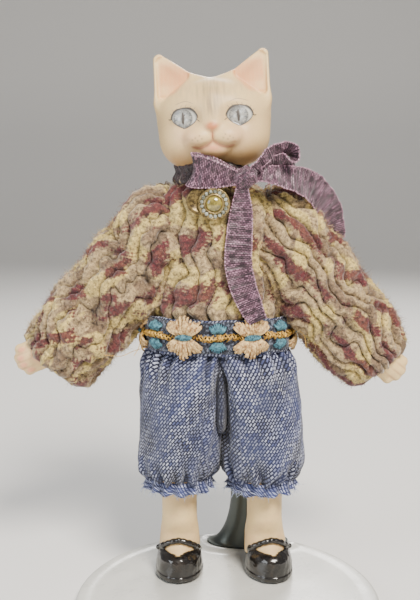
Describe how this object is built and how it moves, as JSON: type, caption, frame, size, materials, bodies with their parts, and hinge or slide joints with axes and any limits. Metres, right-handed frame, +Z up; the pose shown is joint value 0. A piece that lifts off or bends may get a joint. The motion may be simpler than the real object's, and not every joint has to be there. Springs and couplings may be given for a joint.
{
  "type": "miniature bisque cat doll on a stand",
  "caption": "Miniature jointed bisque cat doll in a knitted sweater and denim bloomers, held at the waist by a round display stand with a sliding rod.",
  "frame": {"origin": "middle of the underside of the stand's round base", "axes": "+Z up; the doll faces -Y; its own left hand is on +X"},
  "size_m": [0.0805, 0.06, 0.1092],
  "materials": {
    "white_enamel": "satin",
    "dark_plated_steel": "satin",
    "clear_white_vinyl": "satin",
    "bisque": "matte",
    "black_glaze": "gloss",
    "muslin": "matte",
    "bare_wire": "satin",
    "knit": "matte",
    "denim": "matte",
    "embroidered_trim": "matte",
    "ribbon": "satin",
    "brass": "satin",
    "brooch_stone": "gloss",
    "wood": "matte"
  },
  "bodies": {
    "stand": {"stand_base": "white_enamel", "stand_column": "dark_plated_steel", "stand_rivet": "dark_plated_steel"},
    "doll": {"stand_rod": "dark_plated_steel", "clip_hub": "clear_white_vinyl", "torso": "muslin", "hip_wire": "bare_wire", "neck_plug": "bisque", "neck_hook": "bare_wire", "sweater_body": "knit", "sweater_collar": "knit", "waistband": "denim", "belt_trim": "embroidered_trim", "bloomers_seat": "denim", "ribbon_neck_band": "ribbon", "ribbon_knot": "ribbon", "ribbon_right_loop": "ribbon", "ribbon_left_loop": "ribbon", "ribbon_front_tail": "ribbon", "ribbon_shoulder_tail": "ribbon", "brooch_setting": "brass", "brooch_stone": "brooch_stone", "brooch_pin": "brass"},
    "clip_left": {"clip_left_arm": "clear_white_vinyl"},
    "clip_right": {"clip_right_arm": "clear_white_vinyl"},
    "head": {"head": "bisque", "neck_button": "wood"},
    "right_upper_arm": {"right_upper_arm": "muslin", "right_arm_wire": "bare_wire", "right_sleeve": "knit"},
    "right_lower_arm": {"right_forearm": "bisque", "right_cuff": "knit"},
    "right_leg": {"right_thigh": "muslin", "right_leg": "bisque", "right_shoe": "black_glaze", "right_bloomer_leg": "denim", "right_frill": "denim"},
    "left_upper_arm": {"left_upper_arm": "muslin", "left_arm_wire": "bare_wire", "left_sleeve": "knit"},
    "left_lower_arm": {"left_forearm": "bisque", "left_cuff": "knit"},
    "left_leg": {"left_thigh": "muslin", "left_leg": "bisque", "left_shoe": "black_glaze", "left_bloomer_leg": "denim", "left_frill": "denim"}
  },
  "joints": [
    {"name": "stand_height", "type": "slide", "parent": "stand", "child": "doll", "axis": [0, 0, 1], "range_m": [0, 0.02]},
    {"name": "head_turn", "type": "hinge", "parent": "doll", "child": "head", "pos_m": [-0.0032, 0.0114, 0.0866], "axis": [0, 0, 1], "range_deg": [-40, 40]},
    {"name": "right_shoulder", "type": "hinge", "parent": "doll", "child": "right_upper_arm", "pos_m": [-0.013, 0.0118, 0.0726], "axis": [0, 1, 0], "range_deg": [0, 60]},
    {"name": "right_elbow", "type": "hinge", "parent": "right_upper_arm", "child": "right_lower_arm", "pos_m": [-0.028, 0.0112, 0.0556], "axis": [0, 1, 0], "range_deg": [-20, 45]},
    {"name": "left_shoulder", "type": "hinge", "parent": "doll", "child": "left_upper_arm", "pos_m": [0.0094, 0.0118, 0.0726], "axis": [0, -1, 0], "range_deg": [0, 60], "deforming": ["ribbon_shoulder_tail"]},
    {"name": "left_elbow", "type": "hinge", "parent": "left_upper_arm", "child": "left_lower_arm", "pos_m": [0.0236, 0.0106, 0.0556], "axis": [0, -1, 0], "range_deg": [-20, 45]},
    {"name": "right_hip", "type": "hinge", "parent": "doll", "child": "right_leg", "pos_m": [-0.00095, 0.0113, 0.0404], "axis": [-1, 0, 0], "range_deg": [0, 85]},
    {"name": "left_hip", "type": "hinge", "parent": "doll", "child": "left_leg", "pos_m": [-0.00095, 0.0113, 0.0404], "axis": [-1, 0, 0], "range_deg": [0, 85]},
    {"name": "clip_left_open", "type": "hinge", "parent": "doll", "child": "clip_left", "pos_m": [0.00555, 0.0201, 0.0536], "axis": [0, 0, 1], "range_deg": [0, 20], "stiffness_Nm_per_rad": 0.02, "springref_deg": -5.73},
    {"name": "clip_right_open", "type": "hinge", "parent": "doll", "child": "clip_right", "pos_m": [-0.00915, 0.0201, 0.0536], "axis": [0, 0, -1], "range_deg": [0, 20], "stiffness_Nm_per_rad": 0.02, "springref_deg": -5.73}
  ]
}
